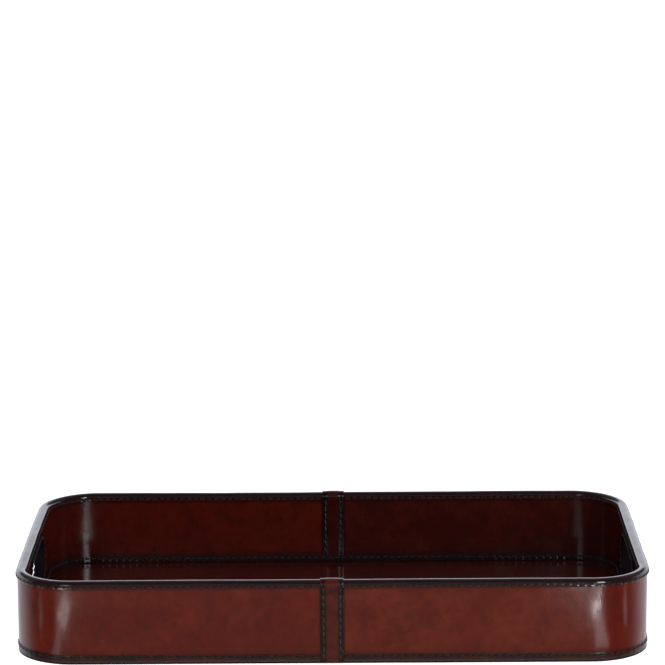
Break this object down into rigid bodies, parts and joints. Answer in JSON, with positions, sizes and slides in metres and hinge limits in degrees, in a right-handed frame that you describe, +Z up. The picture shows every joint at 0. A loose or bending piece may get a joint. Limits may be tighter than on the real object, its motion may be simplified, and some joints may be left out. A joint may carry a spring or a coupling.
{
  "type": "serving tray",
  "caption": "Low rectangular leather serving tray with round corners, bound and stitched edges, a hand hole in each short end and a strap over the wall in the middle of each long side.",
  "frame": {"origin": "centre of the underside, on the table", "axes": "+X along the length, +Y to the back long side, +Z up"},
  "size_m": [0.4514, 0.256, 0.0613],
  "materials": {
    "wall_leather": "waxed red-brown leather, semi-gloss, lightly mottled",
    "lining_leather": "waxed dark red-brown leather, semi-gloss",
    "edge_leather": "dyed and burnished near-black leather, glossy",
    "strap_leather": "waxed red-brown leather with dark dyed edges",
    "floor_leather": "polished dark red-brown leather",
    "base_leather": "matt dark brown leather",
    "thread": "waxed dark grey twisted thread",
    "plywood": "plain thin plywood"
  },
  "bodies": {
    "root": {"base_leather": "base_leather", "base_board": "plywood", "floor_leather": "floor_leather", "wall_hoop_front": "plywood", "wall_hoop_back": "plywood", "upper_rail_left": "plywood", "lower_rail_left": "plywood", "upper_rail_right": "plywood", "lower_rail_right": "plywood", "outer_panel_left": "wall_leather", "outer_panel_right": "wall_leather", "inner_panel_left": "lining_leather", "inner_panel_right": "lining_leather", "rim_binding_left": "edge_leather", "rim_binding_right": "edge_leather", "base_welt_left": "edge_leather", "base_welt_right": "edge_leather", "floor_welt_left": "edge_leather", "floor_welt_right": "edge_leather", "hand_binding_left": "edge_leather", "hand_binding_right": "edge_leather", "joint_strap_front": "strap_leather", "joint_strap_back": "strap_leather", "rim_thread_outer_left": "thread", "rim_thread_outer_right": "thread", "rim_thread_inner_left": "thread", "rim_thread_inner_right": "thread", "base_thread_left": "thread", "base_thread_right": "thread", "floor_thread_left": "thread", "floor_thread_right": "thread", "hand_thread_outer_left": "thread", "hand_thread_inner_left": "thread", "hand_thread_outer_right": "thread", "hand_thread_inner_right": "thread", "strap_thread_front_outer_left": "thread", "strap_thread_front_outer_right": "thread", "strap_thread_front_inner_left": "thread", "strap_thread_front_inner_right": "thread", "strap_thread_back_outer_left": "thread", "strap_thread_back_outer_right": "thread", "strap_thread_back_inner_left": "thread", "strap_thread_back_inner_right": "thread"}
  },
  "joints": []
}
